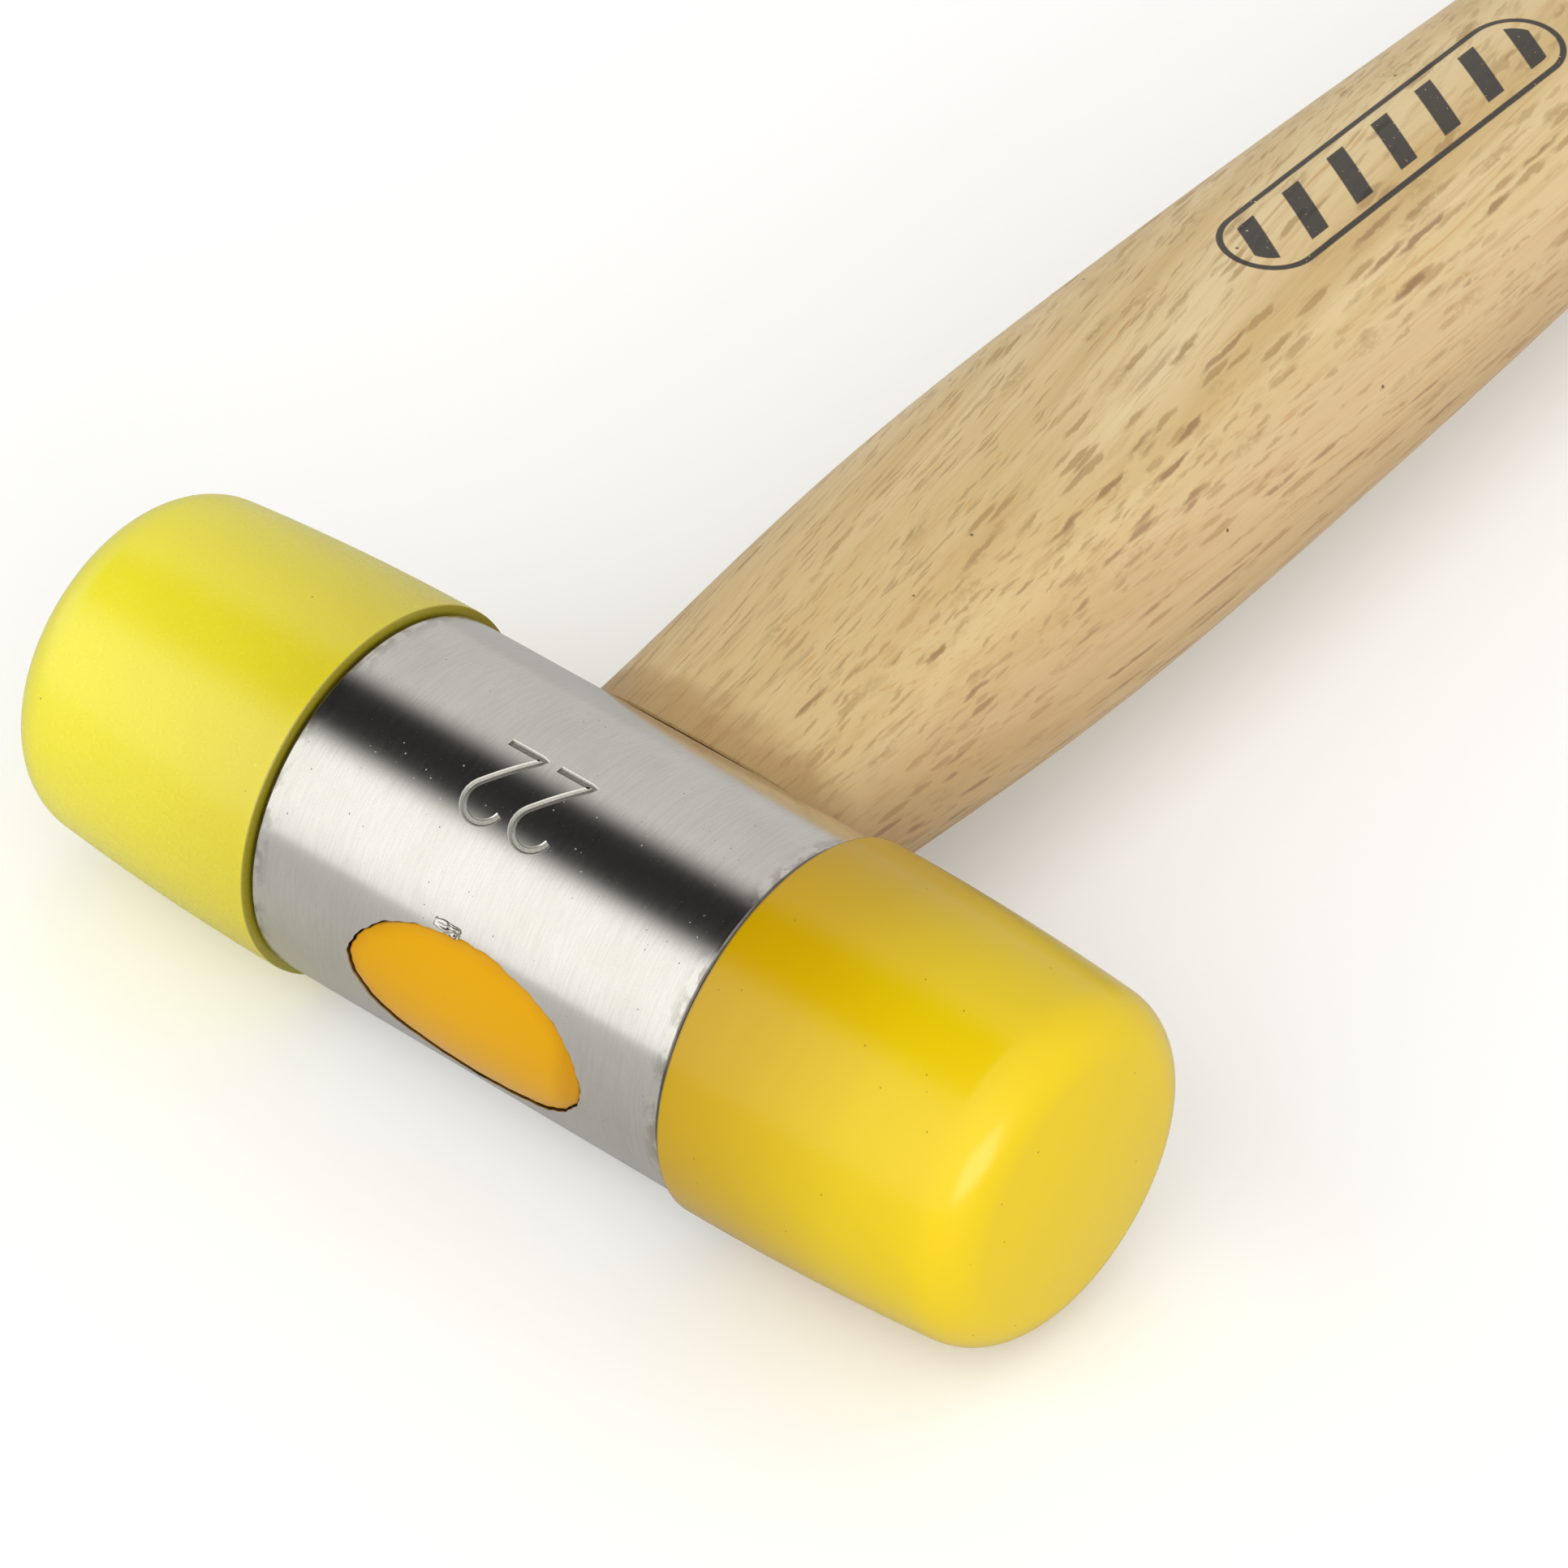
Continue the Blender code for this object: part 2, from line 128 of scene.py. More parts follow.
def drawn(name, axis, rows, around=AROUND, centre=0.0, ring=False):
    """A body drawn along X or Y through rows (place, half width, half height).

    A ring has its last row joined to its first. Any other body is capped at both ends.
    """
    along_x = axis == "X"
    place, width, height = rows[0]
    deselect()
    bpy.ops.mesh.primitive_circle_add(
        vertices=around, radius=MM, fill_type="NOTHING" if ring else "NGON",
        location=at(place, 0, 0) if along_x else at(centre, place, 0),
        rotation=(0, math.pi / 2, 0) if along_x else (math.pi / 2, 0, 0))
    piece = bpy.context.object
    piece.name = piece.data.name = name
    bpy.ops.object.mode_set(mode="EDIT")
    bpy.ops.mesh.select_all(action="SELECT")
    old_width = old_height = 1.0
    old_place = place
    for number, (place, width, height) in enumerate(rows):
        middle = at(place, 0, 0) if along_x else at(centre, place, 0)
        if number:
            step = (place - old_place) * MM
            bpy.ops.mesh.extrude_region_move(
                TRANSFORM_OT_translate={"value": (step, 0, 0) if along_x else (0, step, 0)})
        wider, higher = width / old_width, height / old_height
        bpy.ops.transform.resize(
            value=(1, wider, higher) if along_x else (wider, 1, higher), center_override=middle)
        old_place, old_width, old_height = place, width, height
    bpy.ops.mesh.select_all(action="SELECT")
    if ring:
        bpy.ops.mesh.remove_doubles(threshold=0.002 * MM)
    bpy.ops.mesh.normals_make_consistent(inside=False)
    bpy.ops.object.mode_set(mode="OBJECT")
    bpy.ops.object.transform_apply(location=True, rotation=True, scale=True)
    return piece


def make_active(piece):
    deselect()
    piece.select_set(True)
    bpy.context.view_layer.objects.active = piece


def carve(piece, cutter):
    """Takes the cutter's shape out of the piece, and the cutter away."""
    make_active(piece)
    modifier = piece.modifiers.new("carve", "BOOLEAN")
    modifier.object = cutter
    modifier.operation = "DIFFERENCE"
    modifier.solver = "MANIFOLD"
    bpy.ops.object.modifier_apply(modifier=modifier.name)
    bpy.data.objects.remove(cutter, do_unlink=True)


def smooth(piece, angle=35.0):
    make_active(piece)
    bpy.ops.object.shade_smooth_by_angle(angle=math.radians(angle))


def round_normals(piece, radius, reach):
    """Gives faces that lie on the tube's outside the exact normals of a cylinder."""
    mesh = piece.data
    normals = [tuple(corner.vector) for corner in mesh.corner_normals]
    for face in mesh.polygons:
        spots = [local(mesh.vertices[i]) for i in face.vertices]
        if all(abs(math.hypot(p.y, p.z) - radius) < ON_SURFACE and abs(p.x) < reach
               for p in spots):
            for loop, p in zip(face.loop_indices, spots):
                normals[loop] = (0.0, p.y / radius, p.z / radius)
    mesh.normals_split_custom_set(normals)


def add(piece, body, slot, *nodes):
    """Says what the piece moves with and which CAD nodes it stands for. The slot is not used."""
    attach(piece, body)
    if nodes:
        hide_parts(*nodes)


# ---- The head's steel tube -----------------------------------------------------------------

def thread_places(per_pitch=14):
    count = round((THREAD_END_X - NECK_X) / THREAD_PITCH * per_pitch)
    return [NECK_X + (THREAD_END_X - NECK_X) * i / count for i in range(count + 1)]


def cut_thread(piece, middle, run_out, limit):
    """Waves the rows of the threaded length, inside a radius, into a right-hand round thread."""
    for vert in piece.data.vertices:
        p = local(vert)
        side = math.copysign(1.0, p.x)
        x, y = side * p.x, side * p.y
        radius = math.hypot(p.y, p.z)
        if not (NECK_X - 0.01 < x < THREAD_END_X + 0.01 and BORE_RADIUS + 0.5 < radius < limit):
            continue
        angle = math.atan2(p.z, y)
        full = max(0.0, min(1.0, (x - NECK_X) / 1.0, (THREAD_END_X - x) / 1.0))
        wave = math.cos(2 * math.pi * x / THREAD_PITCH - angle)
        new = middle + HALF_THREAD * (full * wave + (1 - full) * run_out)
        vert.co = at(p.x, p.y * new / radius, p.z * new / radius)


def mouth_outline(angle, inset):
    """A point of the hand-cleaned oval mouth, slightly ragged, as (x, z)."""
    rag = (0.055 * math.sin(3 * angle + 0.7) + 0.045 * math.sin(8 * angle + 2.0)
           + 0.035 * math.sin(19 * angle + 0.4) + 0.025 * math.sin(43 * angle + 1.1))
    return ((EYE_HALF_WIDTH - 0.08 - inset + rag) * math.cos(angle),
            (EYE_HALF_HEIGHT - 0.05 - inset + rag) * math.sin(angle))


def ragged(tool):
    """Turns the front rows of the mouth's oval tool into the mouth's ragged outline."""
    for vert in tool.data.vertices:
        p = local(vert)
        if p.y > MOUTH_Y:
            continue
        u, v = (p.x - EYE_OFFSET) / EYE_HALF_WIDTH, p.z / EYE_HALF_HEIGHT
        size = math.hypot(u, v)
        x, z = mouth_outline(math.atan2(v, u), 0.0)
        vert.co = at(EYE_OFFSET + x * size, p.y, z * size)


def digit_two(left_x, foot_angle, width=2.6, height=5.1):
    """The line of a plain figure two, as points (x, angle) on the tube, its foot by the handle."""
    bow = width / 2
    points = []
    for i in range(15):
        turn = math.radians(165 - 200 * i / 14)
        points.append((bow + bow * math.cos(turn), height - bow + bow * math.sin(turn)))
    points += [(0.05, 0.0), (width, 0.0)]
    return [(left_x + width - u, foot_angle + math.degrees(v / TUBE_RADIUS)) for u, v in points]


def stamp_tool(line, name):
    """A round-nosed rod that follows a line on the tube and presses a shallow groove."""
    curve = bpy.data.curves.new(name, "CURVE")
    curve.dimensions = "3D"
    curve.bevel_depth = STAMP_ROD * MM
    curve.bevel_resolution = 2
    curve.use_fill_caps = True
    fine = []
    for (x0, a0), (x1, a1) in zip(line, line[1:]):
        length = math.hypot(x1 - x0, math.radians(a1 - a0) * TUBE_RADIUS)
        steps = max(1, round(length / STAMP_STEP))
        fine += [(x0 + (x1 - x0) * i / steps, a0 + (a1 - a0) * i / steps) for i in range(steps)]
    fine.append(line[-1])
    spline = curve.splines.new("POLY")
    spline.points.add(len(fine) - 1)
    lift = TUBE_RADIUS + STAMP_LIFT
    for point, (x, angle) in zip(spline.points, fine):
        turn = math.radians(angle)
        spot = at(x, lift * math.cos(turn), lift * math.sin(turn))
        point.co = (*spot, 1.0)
    rod = bpy.data.objects.new(name, curve)
    bpy.context.scene.collection.objects.link(rod)
    make_active(rod)
    bpy.ops.object.convert(target="MESH")
    bpy.ops.object.mode_set(mode="EDIT")
    bpy.ops.mesh.select_all(action="SELECT")
    bpy.ops.mesh.remove_doubles(threshold=0.001 * MM)
    bpy.ops.mesh.normals_make_consistent(inside=False)
    bpy.ops.object.mode_set(mode="OBJECT")
    return bpy.context.object


def make_tube():
    half = [(float(x), TUBE_RADIUS) for x in range(0, 15)]
    half += [(14.62, TUBE_RADIUS), (14.72, TUBE_RADIUS - 0.02), (14.80, TUBE_RADIUS - 0.07),
             (SHOULDER_X, TUBE_RADIUS - 0.16), (SHOULDER_X, 8.3), (SHOULDER_X + 0.1, 8.05),
             (SHOULDER_X + 0.35, ROOT_RADIUS)]
    half += [(x, ROOT_RADIUS) for x in thread_places()]
    half += [(SPIGOT_X - 0.25, ROOT_RADIUS), (SPIGOT_X - 0.08, ROOT_RADIUS - 0.08),
             (SPIGOT_X, ROOT_RADIUS - 0.25), (SPIGOT_X, BORE_RADIUS + 0.2),
             (SPIGOT_X - 0.2, BORE_RADIUS)]
    rows = half + [(-x, radius) for x, radius in reversed(half)]
    tube = drawn("head_tube_turned", "X", [(x, r, r) for x, r in rows], ring=True)
    cut_thread(tube, THREAD_RADIUS, -1, THREAD_RADIUS + 0.5)

    front = drawn("front_mouth", "Y", [(y, EYE_HALF_WIDTH, EYE_HALF_HEIGHT) for y in (-12.5, -7.2)]
                  + [(-0.1, 7.7, 4.95)], around=220, centre=EYE_OFFSET)
    ragged(front)
    rear = drawn("rear_mouth", "Y", [(y, EYE_HALF_WIDTH - EYE_OFFSET, EYE_HALF_HEIGHT)
                                     for y in (-0.2, 12.5)], around=96)
    carve(tube, front)
    carve(tube, rear)
    for number, left_x in enumerate(STAMP_LEFTS):
        carve(tube, stamp_tool(digit_two(left_x, STAMP_FOOT), f"stamp_{number}"))
    smooth(tube, 30)
    round_normals(tube, TUBE_RADIUS, SHOULDER_X - 0.2)
    return tube


def make_resin():
    """The poured cap: flush with the tube, faintly hollow at its edge, with its stem below."""
    underside = -SLEEVE_REACH - 0.3
    rows = [(-11.0, share * EYE_HALF_WIDTH, share * EYE_HALF_HEIGHT)
            for share in (0.05, 0.15, 0.3, 0.45, 0.6, 0.7, 0.8, 0.88, 0.94, 0.975, 0.992, 1.0)]
    rows += [(underside, EYE_HALF_WIDTH - 0.3, EYE_HALF_HEIGHT - 0.3),
             (underside, TENON_HALF_WIDTH, TENON_HALF_HEIGHT),
             (TENON_Y - 0.3, TENON_HALF_WIDTH, TENON_HALF_HEIGHT)]
    resin = drawn("eye_resin_cap", "Y", rows, around=220, centre=EYE_OFFSET)
    for vert in resin.data.vertices:
        p = local(vert)
        if p.y > -10.5:
            if abs(p.x - EYE_OFFSET) < TENON_HALF_WIDTH + 0.05 and p.y > underside - 0.01:
                inside = math.hypot((p.x - EYE_OFFSET) / TENON_HALF_WIDTH, p.z / TENON_HALF_HEIGHT)
                if inside < 1.02:
                    vert.co = at(p.x - EYE_OFFSET, p.y, p.z)
            continue
        u, v = (p.x - EYE_OFFSET) / EYE_HALF_WIDTH, p.z / EYE_HALF_HEIGHT
        share = math.hypot(u, v)
        x, z = mouth_outline(math.atan2(v, u), RESIN_LINE)
        x, z = x * share, z * share
        edge = max(0.0, (share - 0.9) / 0.1)
        dip = 0.03 + 0.05 * share ** 6 + 0.10 * edge ** 4
        vert.co = at(EYE_OFFSET + x, dip - math.sqrt(TUBE_RADIUS ** 2 - z * z), z)
    smooth(resin, 40)
    return resin


def make_burr():
    """A curl of steel left by the cutter on the mouth's upper edge."""
    deselect()
    angle = math.radians(152.5)
    bpy.ops.mesh.primitive_cube_add(
        size=MM, location=at(-1.1, 11.02 * math.cos(angle), 11.02 * math.sin(angle)),
        rotation=(angle - math.pi / 2, 0.0, -0.12))
    burr = bpy.context.object
    burr.name = burr.data.name = "mouth_burr"
    bpy.ops.object.mode_set(mode="EDIT")
    bpy.ops.transform.resize(value=(1.7, 0.5, 0.2), orient_type="LOCAL")
    bpy.ops.mesh.select_all(action="SELECT")
    bpy.ops.mesh.subdivide(number_cuts=7)
    bpy.ops.transform.vertex_random(offset=0.10 * MM, uniform=1.0, normal=0.3, seed=5)
    bpy.ops.mesh.vertices_smooth(factor=0.35)
    bpy.ops.object.mode_set(mode="OBJECT")
    bpy.ops.object.transform_apply(location=True, rotation=True, scale=True)
    smooth(burr, 60)
    return burr


# ---- Plastic faces -------------------------------------------------------------------------

def make_face(name, side):
    """A moulded face turned for the right end, and turned about Z for the left one."""
    nose_radius = RIM_RADIUS - FACE_TAPER
    crown_slope, body_slope = math.radians(9.0), math.radians(84.9)
    centre_radius = nose_radius - NOSE_CORNER * math.sin(body_slope)
    crown_radius = centre_radius + NOSE_CORNER * math.sin(crown_slope)
    dome = crown_radius / math.sin(crown_slope)
    centre_x = NOSE_X - dome * (1 - math.cos(crown_slope)) - NOSE_CORNER * math.cos(crown_slope)
    rows = []
    for i in range(14):
        slope = crown_slope * (i + 0.6) / 14
        rows.append((NOSE_X - dome * (1 - math.cos(slope)), dome * math.sin(slope)))
    for i in range(21):
        slope = crown_slope + (body_slope - crown_slope) * i / 20
        rows.append((centre_x + NOSE_CORNER * math.cos(slope),
                     centre_radius + NOSE_CORNER * math.sin(slope)))
    body = rows[-1][0] - RIM_X
    for i in range(23, 0, -1):
        share = i / 24
        rows.append((RIM_X + body * share, RIM_RADIUS - FACE_TAPER * share * share))
    edge = 0.09
    for i in range(5):
        angle = math.pi / 2 * i / 4
        rows.append((RIM_X + edge - edge * math.sin(angle),
                     RIM_RADIUS - edge + edge * math.cos(angle)))
    rows += [(RIM_X, SOCKET_RADIUS + 0.35), (RIM_X + 0.35, SOCKET_RADIUS)]
    rows += [(x, SOCKET_RADIUS) for x in thread_places()]
    rows.append((SOCKET_X, SOCKET_RADIUS))
    rows.append((SOCKET_X, 0.4))
    if side < 0:
        rows = [(-x, radius) for x, radius in rows]
    face = drawn(name, "X", [(x, r, r) for x, r in rows])
    cut_thread(face, THREAD_RADIUS + 0.3, 1, SOCKET_RADIUS + 0.2)
    smooth(face, 32)
    return face


# ---- Handle --------------------------------------------------------------------------------

def slope(i, column):
    """How fast a size of the handle changes along it, at a station."""
    a, b = STATIONS[max(i - 1, 0)], STATIONS[min(i + 1, len(STATIONS) - 1)]
    return (b[column] - a[column]) / (b[0] - a[0])


def section(y):
    """Half width and half thickness of the handle at a distance from the head."""
    k = 0
    while k < len(STATIONS) - 2 and y > STATIONS[k + 1][0]:
        k += 1
    y0, y1 = STATIONS[k][0], STATIONS[k + 1][0]
    t = (y - y0) / (y1 - y0)
    sizes = []
    for column in (1, 2):
        v0, v1 = STATIONS[k][column], STATIONS[k + 1][column]
        sizes.append(v0 + (v1 - v0) * t * t * (3 - 2 * t)
                     + slope(k, column) * (y1 - y0) * t * (1 - t) ** 2
                     - slope(k + 1, column) * (y1 - y0) * t * t * (1 - t))
    return sizes


def squared(value, size):
    share = max(-1.0, min(1.0, value / size))
    return size * math.copysign(abs(share) ** (2 / SQUARENESS), share)


def make_handle():
    neck = section(SEAT_RADIUS)
    ledge = [(a + b) / 2 for a, b in zip((TENON_HALF_WIDTH, TENON_HALF_HEIGHT), neck)]
    rows = [(TENON_Y, TENON_HALF_WIDTH - 0.6, TENON_HALF_HEIGHT - 0.6),
            (TENON_Y + 0.6, TENON_HALF_WIDTH, TENON_HALF_HEIGHT),
            (SEAT_RADIUS - 0.02, TENON_HALF_WIDTH, TENON_HALF_HEIGHT),
            (SEAT_RADIUS - 0.01, *ledge),
            (SEAT_RADIUS, neck[0] - SEAT_BEVEL, neck[1] - SEAT_BEVEL)]
    y = SEAT_RADIUS + SEAT_BEVEL
    end = BUTT_Y - BUTT_ROUND
    while y < end:
        rows.append((y, *section(y)))
        y += 0.9 if y < 20 else 2.2
    for i in range(15):
        angle = math.pi / 2 * i / 14
        scale = BUTT_FLAT + (1 - BUTT_FLAT) * math.cos(angle)
        half_width, half_height = section(end)
        rows.append((end + BUTT_ROUND * math.sin(angle), half_width * scale, half_height * scale))
    handle = drawn("handle_shaped", "Y", rows, around=128)
    for vert in handle.data.vertices:
        p = local(vert)
        if p.y < SEAT_RADIUS - 0.015 and p.y < TENON_Y + 1.0:
            continue
        if p.y > SEAT_RADIUS - 0.005:
            if p.y <= end:
                half_width, half_height = section(max(p.y, SEAT_RADIUS))
                if p.y < SEAT_RADIUS + 0.05:
                    half_width -= SEAT_BEVEL
                    half_height -= SEAT_BEVEL
            else:
                turn = math.asin(min(1.0, (p.y - end) / BUTT_ROUND))
                scale = BUTT_FLAT + (1 - BUTT_FLAT) * math.cos(turn)
                half_width, half_height = (size * scale for size in section(end))
            p.x, p.z = squared(p.x, half_width), squared(p.z, half_height)
        run = max(0.0, 1 - max(0.0, p.y - SEAT_RADIUS) / SEAT_REACH) ** 2
        if run > 0:
            p.y -= run * (SEAT_RADIUS - math.sqrt(max(0.0, SEAT_RADIUS ** 2 - p.z * p.z)))
        vert.co = at(*p)
    deselect()
    bpy.ops.mesh.primitive_cube_add(size=2 * MM, location=at(0, KERF_MIDDLE, 0))
    kerf = bpy.context.object
    bpy.ops.object.mode_set(mode="EDIT")
    bpy.ops.transform.resize(value=(KERF_HALF_WIDTH, KERF_HALF_LENGTH, 1.0),
                             center_override=at(0, KERF_MIDDLE, 0))
    bpy.ops.object.mode_set(mode="OBJECT")
    bpy.ops.object.transform_apply(location=True, rotation=True, scale=True)
    for vert in kerf.data.vertices:
        p = local(vert)
        vert.co = at(p.x, p.y, math.copysign(KERF_ROOT if p.y > KERF_MIDDLE else KERF_MOUTH, p.z))
    carve(handle, kerf)
    smooth(handle, 35)
    return handle


# ---- Shot ---------------------------------------------------------------------------------

def make_shot(node_name):
    """A steel ball in the place of a CAD one, with the faint flats of a tumbled shot."""
    low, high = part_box(node_name)
    deselect()
    bpy.ops.mesh.primitive_ico_sphere_add(subdivisions=3, radius=(high.z - low.z) / 2 * 0.985,
                                          location=(low + high) / 2)
    ball = bpy.context.object
    ball.name = ball.data.name = node_name + "_ball"
    bpy.ops.object.mode_set(mode="EDIT")
    bpy.ops.mesh.select_all(action="SELECT")
    bpy.ops.transform.vertex_random(offset=0.012 * MM, uniform=1.0, normal=1.0, seed=3)
    bpy.ops.object.mode_set(mode="OBJECT")
    bpy.ops.object.transform_apply(location=True, rotation=True, scale=True)
    smooth(ball, 60)
    return ball


# ---- Shader maths --------------------------------------------------------------------------

class Value:
    """A socket of a node tree. Arithmetic on it adds Math nodes."""

    def __init__(self, tree, socket):
        self.tree, self.socket = tree, socket

    def maths(self, operation, *parts):
        return node(self.tree, "ShaderNodeMath", {"operation": operation},
                    dict(enumerate(parts)))

    def __add__(self, other):
        return self.maths("ADD", self, other)

    def __sub__(self, other):
        return self.maths("SUBTRACT", self, other)

    def __rsub__(self, other):
        return self.maths("SUBTRACT", other, self)

    def __mul__(self, other):
        return self.maths("MULTIPLY", self, other)

    def __truediv__(self, other):
        return self.maths("DIVIDE", self, other)

    def __pow__(self, other):
        return self.maths("POWER", self, other)

    __radd__ = __add__
    __rmul__ = __mul__

    def step(self, low, high):
        """0 below low and 1 above high, smooth between them. High may be the lower one."""
        return node(self.tree, "ShaderNodeMapRange", {"interpolation_type": "SMOOTHSTEP"},
                    {"Value": self, "From Min": low, "From Max": high})


def node(tree, kind, settings=None, inputs=None, output=0):
    """A node with its settings and its sockets' values or links, given as one output."""
    made = tree.nodes.new(kind)
    for name, setting in (settings or {}).items():
        if name == "stops":
            stops = made.color_ramp.elements
            while len(stops) < len(setting):
                stops.new(0.5)
            for stop, (place, colour) in zip(stops, setting):
                stop.position = place
                stop.color = (*colour, 1.0)
        else:
            setattr(made, name, setting)
    for name, value in (inputs or {}).items():
        if isinstance(value, Value):
            tree.links.new(value.socket, made.inputs[name])
        else:
            made.inputs[name].default_value = value
    return Value(tree, made.outputs[output])


class Finish:
    """One procedural material, with what its recipes share."""

    def __init__(self, name, origin=HEAD, **constants):
        self.material = bpy.data.materials.new(name)
        self.material.use_nodes = True
        self.tree = self.material.node_tree
        self.shader = self.tree.nodes["Principled BSDF"]
        for socket, value in constants.items():
            self.shader.inputs[socket.replace("_", " ")].default_value = value
        place = self.node("ShaderNodeTexCoord", output=3)
        place = self.vector("SUBTRACT", place, tuple(origin))
        self.place = self.vector("SCALE", place, Scale=1 / MM)
        self.x, self.y, self.z = self.split(self.place)

    def node(self, kind, settings=None, inputs=None, output=0):
        return node(self.tree, kind, settings, inputs, output)

    def vector(self, operation, *parts, **named):
        return self.node("ShaderNodeVectorMath", {"operation": operation},
                         {**dict(enumerate(parts)), **named})

    def split(self, vector):
        first = self.node("ShaderNodeSeparateXYZ", inputs={0: vector})
        outputs = first.socket.node.outputs
        return [Value(self.tree, outputs[i]) for i in range(3)]

    def join(self, x, y, z):
        return self.node("ShaderNodeCombineXYZ", inputs={0: x, 1: y, 2: z})

    def stretched(self, x, y, z, place=None):
        return self.vector("MULTIPLY", place or self.place, (x, y, z))

    def noise(self, place, scale=1.0, detail=3.0, roughness=0.5):
        return self.node("ShaderNodeTexNoise", inputs={
            "Vector": place, "Scale": scale, "Detail": detail, "Roughness": roughness})

    def cells(self, place, scale=1.0):
        """Distance to the nearest of scattered points."""
        return self.node("ShaderNodeTexVoronoi", inputs={"Vector": place, "Scale": scale})

    def ramp(self, value, *stops):
        return self.node("ShaderNodeValToRGB", {"stops": stops}, {0: value})

    def mix(self, factor, one, other, blend="MIX"):
        one = one if isinstance(one, Value) else (*one, 1.0)
        other = other if isinstance(other, Value) else (*other, 1.0)
        return self.node("ShaderNodeMix", {"data_type": "RGBA", "blend_type": blend},
                         {0: factor, 6: one, 7: other}, output=2)

    def bump(self, height, depth, normal=None):
        """Depth is the height of the relief in millimetres where the height value is 1."""
        inputs = {"Height": height, "Distance": depth * MM}
        if normal:
            inputs["Normal"] = normal
        return self.node("ShaderNodeBump", inputs=inputs)

    def done(self, colour=None, rough=None, normal=None, metal=None):
        for name, value in (("Base Color", colour), ("Roughness", rough), ("Normal", normal),
                            ("Metallic", metal)):
            if value is not None:
                self.tree.links.new(value.socket, self.shader.inputs[name])
        return self.material


# ---- Finishes ------------------------------------------------------------------------------

def ground_steel():
    steel = Finish("ground_steel", Metallic=1.0)
    lines = steel.noise(steel.stretched(9.0, 0.5, 0.5), detail=4.0, roughness=0.6)
    fine = steel.noise(steel.stretched(26.0, 2.5, 2.5), detail=2.0)
    grit = steel.noise(steel.place, 9.0, 3.0, 0.7)
    blotch = steel.noise(steel.place, 0.30, 4.0)
    spots = steel.noise(steel.place, 7.0, 3.0, 0.7).step(0.66, 0.74)
    pits = steel.cells(steel.place, 1.9).step(0.10, 0.04) * steel.noise(
        steel.place, 0.5).step(0.5, 0.6)
    colour = steel.mix(blotch.step(0.35, 0.7), (0.655, 0.635, 0.595), (0.625, 0.60, 0.56))
    colour = steel.mix((lines * 0.6 + grit * 0.4).step(0.42, 0.62) * 0.30, colour,
                       (0.50, 0.475, 0.43))
    colour = steel.mix(spots * 0.35, colour, (0.34, 0.31, 0.27))
    colour = steel.mix(pits * 0.7, colour, (0.10, 0.085, 0.07))
    out = (steel.y * steel.y + steel.z * steel.z) ** 0.5
    # Painted shade: the insides of the stamped grooves, and whatever else lies just below the
    # tube's outside, are darkened, broken up by grit noise.
    groove = out.step(TUBE_RADIUS - 0.015, TUBE_RADIUS - 0.09) * out.step(
        TUBE_RADIUS - 0.30, TUBE_RADIUS - 0.24)
    colour = steel.mix(groove * (0.35 + grit * 0.6), colour, (0.16, 0.145, 0.12))
    across = steel.x.maths("ABSOLUTE", steel.x)
    grime = across.step(13.4, 14.8) * steel.noise(steel.stretched(1.5, 0.8, 0.8)).step(0.45, 0.6)
    colour = steel.mix(grime * 0.5, colour, (0.20, 0.165, 0.12))
    # Painted shade: a near-black band on the tube's chamfer and shoulder, where the tube meets
    # each face.
    colour = steel.mix(across.step(14.58, 14.70) * across.step(15.3, 15.2) * 0.85, colour,
                       (0.07, 0.058, 0.045))
    rough = 0.115 + lines * 0.08 + grit * 0.05 + spots * 0.12 + pits * 0.2 + groove * 0.15
    normal = steel.bump(lines + fine * 0.3 + grit * 0.45, 0.0012)
    normal = steel.bump(pits * -1.0 + groove * grit * 0.8, 0.02, normal)
    return steel.done(colour, rough, normal)


def plain_metal(name, colour, dark, rough):
    metal = Finish(name, Metallic=1.0)
    patch = metal.noise(metal.place, 1.1, 4.0)
    marks = metal.noise(metal.stretched(6.0, 2.0, 2.0), detail=3.0)
    tint = metal.mix(patch.step(0.35, 0.65), colour, dark)
    return metal.done(tint, rough + marks * 0.15, metal.bump(marks, 0.003))


def lemon_plastic():
    plastic = Finish("lemon_plastic", IOR=1.5, Specular_IOR_Level=0.75)
    cloud = plastic.noise(plastic.place, 0.16, 2.0)
    depth = (plastic.x * -1.0 - 15.0) / 20.0
    colour = plastic.ramp(depth + cloud * 0.15 - 0.07, (0.0, (0.64, 0.54, 0.016)),
                          (0.3, (0.71, 0.62, 0.018)), (0.75, (0.80, 0.71, 0.02)),
                          (1.0, (0.78, 0.72, 0.03)))
    bubbles = plastic.cells(plastic.place, 0.75).step(0.10, 0.05)
    near = depth.step(0.25, 0.0)
    colour = plastic.mix(bubbles * near * 0.5, colour, (0.85, 0.80, 0.25))
    specks = plastic.cells(plastic.place, 0.42).step(0.035, 0.02)
    colour = plastic.mix(specks * 0.8, colour, (0.22, 0.15, 0.03))
    # Painted shade: the face's edge next to the tube is darkened to a dark olive line, as the
    # shade in the joint with the tube.
    rim_shade = depth.step(0.0085, 0.004)
    colour = plastic.mix(rim_shade * 0.8, colour, (0.20, 0.165, 0.015))
    grain = plastic.noise(plastic.place, 1.6, 1.0)
    rough = 0.24 + grain * 0.06
    return plastic.done(colour, rough, plastic.bump(grain, 0.0015))


